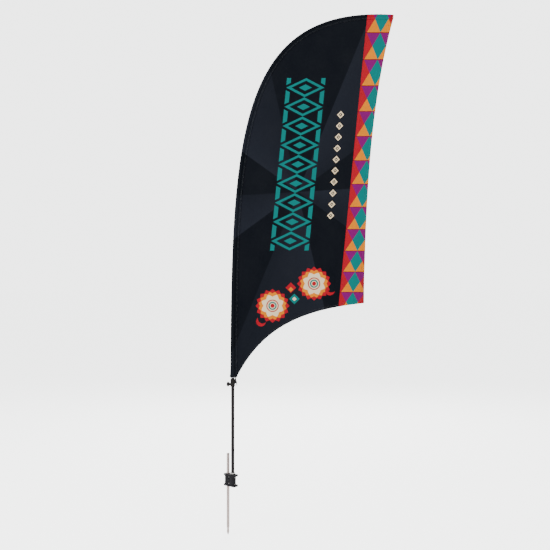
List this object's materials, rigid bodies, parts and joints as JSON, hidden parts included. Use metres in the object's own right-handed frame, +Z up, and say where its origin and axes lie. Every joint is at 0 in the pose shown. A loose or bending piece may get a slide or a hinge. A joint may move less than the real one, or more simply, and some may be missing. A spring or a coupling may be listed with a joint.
{
  "type": "feather flag on a ground stake",
  "caption": "Double-sided razor-top feather flag on a sectional pole that turns on a spindle, with a clamp bracket and a steel ground stake.",
  "frame": {"origin": "on the stake's axis at the ground line, level with the bracket's underside", "axes": "+Z up along the stake and the pole, +X from the pole towards the flag's fly edge, +Y towards the flag's back"},
  "size_m": [0.7688, 0.0615, 2.3592],
  "materials": {
    "stake_steel": "bright zinc-plated bar",
    "bracket_plastic": "black moulded nylon with a fine grain",
    "screw_steel": "bright zinc screws and nuts",
    "clamp_screw_steel": "black oxide",
    "bearing_nylon": "natural nylon",
    "spindle_steel": "turned steel",
    "washer_acetal": "white acetal",
    "spring_steel": "dark spring steel",
    "pole_paint": "semi-gloss black on aluminium tube",
    "pole_fibreglass": "black pultruded glass fibre",
    "ferrule_metal": "plain aluminium",
    "tip_vinyl": "soft black vinyl",
    "flag_print": "printed knitted polyester",
    "flag_liner": "black block-out lining",
    "sleeve_cloth": "dark stretch polyester",
    "binding_tape": "grey woven tape",
    "elastic": "black woven elastic",
    "collar_plastic": "black moulded nylon",
    "insert_brass": "machined brass",
    "knob_plastic": "black moulded nylon, polished by hands"
  },
  "bodies": {
    "stake": {"ground_stake": "stake_steel"},
    "bracket": {"bracket_front_half": "bracket_plastic", "bracket_rear_half": "bracket_plastic", "assembly_screw_upper": "screw_steel", "assembly_screw_lower": "screw_steel", "assembly_nut_upper": "screw_steel", "assembly_nut_lower": "screw_steel", "stake_clamp_nut": "screw_steel", "bush_lock_screw_upper": "screw_steel", "bush_lock_screw_lower": "screw_steel", "upper_spindle_bush": "bearing_nylon", "lower_spindle_bush": "bearing_nylon"},
    "clamp_screw": {"stake_clamp_screw": "clamp_screw_steel"},
    "spindle": {"spindle": "spindle_steel", "thrust_washer": "washer_acetal", "retaining_clip": "spring_steel"},
    "pole": {"lower_pole_tube": "pole_paint", "middle_pole_tube": "pole_fibreglass", "upper_pole_rod": "pole_fibreglass", "lower_joint_ferrule": "ferrule_metal", "upper_joint_ferrule": "ferrule_metal", "pole_tip_cap": "tip_vinyl", "flag_front_panel": "flag_print", "flag_liner": "flag_liner", "flag_back_panel": "flag_print", "pole_sleeve": "sleeve_cloth", "peak_pocket": "sleeve_cloth", "sleeve_mouth_binding": "binding_tape", "elastic_tail_loop": "elastic"},
    "collar": {"tension_collar": "collar_plastic", "collar_insert_nut": "insert_brass"},
    "thumb_screw": {"thumb_screw_shank": "screw_steel", "thumb_screw_knob": "knob_plastic"}
  },
  "joints": [
    {"name": "bracket_slide", "type": "slide", "parent": "stake", "child": "bracket", "axis": [0, 0, 1], "range_m": [-0.15, 0.09]},
    {"name": "clamp_screw_turn", "type": "hinge", "parent": "bracket", "child": "clamp_screw", "pos_m": [0.01111, -0.00932, 0.027], "axis": [-0.6428, -0.766, 0], "range_deg": [0, 720]},
    {"name": "pole_spin", "type": "hinge", "parent": "bracket", "child": "spindle", "pos_m": [0.02221, -0.01864, 0.03], "axis": [0, 0, 1], "continuous": true},
    {"name": "pole_lift", "type": "slide", "parent": "spindle", "child": "pole", "axis": [0, 0, 1], "range_m": [0, 0.11]},
    {"name": "collar_slide", "type": "slide", "parent": "pole", "child": "collar", "axis": [0, 0, 1], "range_m": [-0.03, 0], "deforming": ["elastic_tail_loop"]},
    {"name": "thumb_screw_turn", "type": "hinge", "parent": "collar", "child": "thumb_screw", "pos_m": [0.02221, -0.01864, 0.4615], "axis": [-1, 0, 0], "range_deg": [0, 720]}
  ]
}
